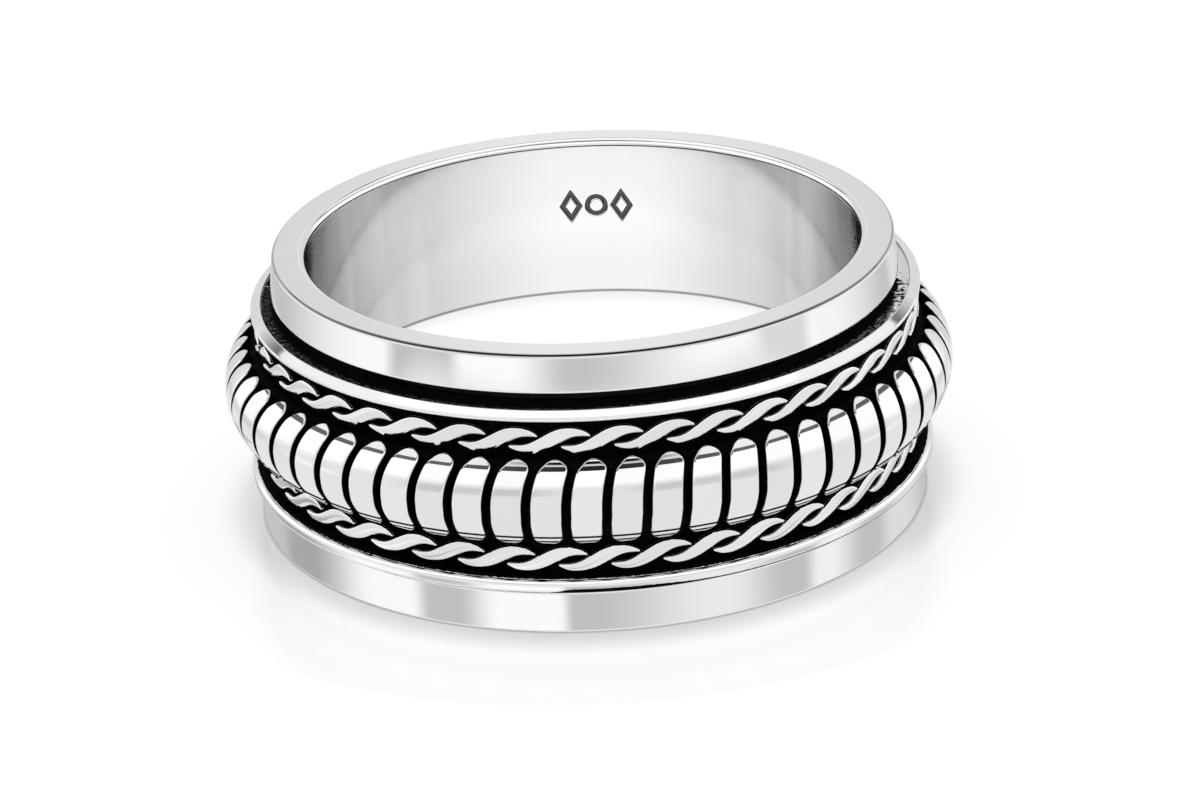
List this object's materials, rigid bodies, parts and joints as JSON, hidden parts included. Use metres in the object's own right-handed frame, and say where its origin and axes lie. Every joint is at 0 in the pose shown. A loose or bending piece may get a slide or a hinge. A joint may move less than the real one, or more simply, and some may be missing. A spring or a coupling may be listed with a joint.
{
  "type": "spinner ring",
  "caption": "Silver finger ring whose wide patterned outer band spins freely round a polished inner band between two collars.",
  "frame": {"origin": "on the axis of the finger hole, at the surface that the ring lies on", "axes": "+Z along the axis of the finger hole, from the wide foot collar up to the narrow top collar"},
  "size_m": [0.0262, 0.0262, 0.0098],
  "materials": {
    "polished_silver": "high polish sterling silver",
    "oxidised_silver": "polished silver on the raised parts, blackened in the recesses"
  },
  "bodies": {
    "inner_band": {"inner_band": "polished_silver"},
    "spinner": {"spinner_band": "oxidised_silver"}
  },
  "joints": [
    {"name": "spinner_spin", "type": "hinge", "parent": "inner_band", "child": "spinner", "pos_m": [0, 0, 0], "axis": [0, 0, 1], "continuous": true}
  ]
}
